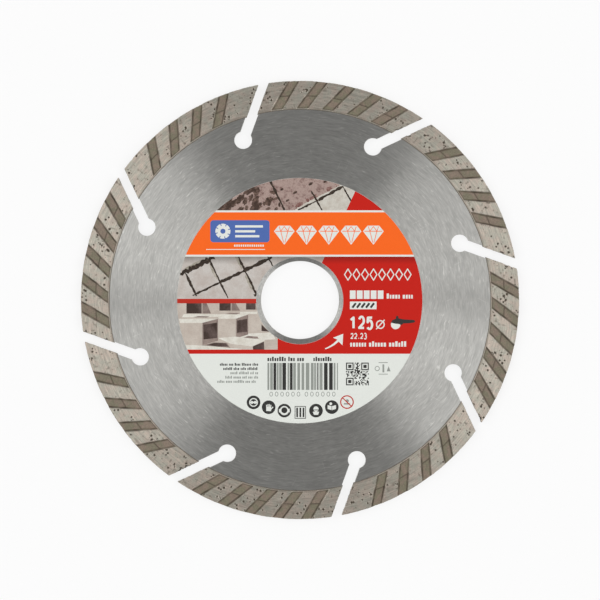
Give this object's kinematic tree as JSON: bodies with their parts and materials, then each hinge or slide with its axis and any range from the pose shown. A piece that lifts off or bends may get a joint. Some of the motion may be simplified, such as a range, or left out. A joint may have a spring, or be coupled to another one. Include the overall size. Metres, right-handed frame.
{
  "type": "diamond blade",
  "caption": "Round segmented diamond blade for an angle grinder: a flat steel core with a central bore, a slotted sintered rim with slanted grooves on both sides, and a printed label.",
  "frame": {"origin": "centre of the bore at half the blade's thickness", "axes": "+Z along the spin axis, out of the labelled face; +Y towards the label's top edge; +X towards its right-hand edge"},
  "size_m": [0.125, 0.125, 0.0022],
  "materials": {
    "core_steel": "fine circular grinding marks, satin",
    "sintered_metal": "ground side faces with pits and diamond grit, dark unground groove floors, matt",
    "printed_label": "colour print on thin film, semi-gloss"
  },
  "bodies": {
    "root": {"core": "core_steel", "segment_1": "sintered_metal", "segment_2": "sintered_metal", "segment_3": "sintered_metal", "segment_4": "sintered_metal", "segment_5": "sintered_metal", "segment_6": "sintered_metal", "segment_7": "sintered_metal", "segment_8": "sintered_metal", "label": "printed_label"}
  },
  "joints": []
}
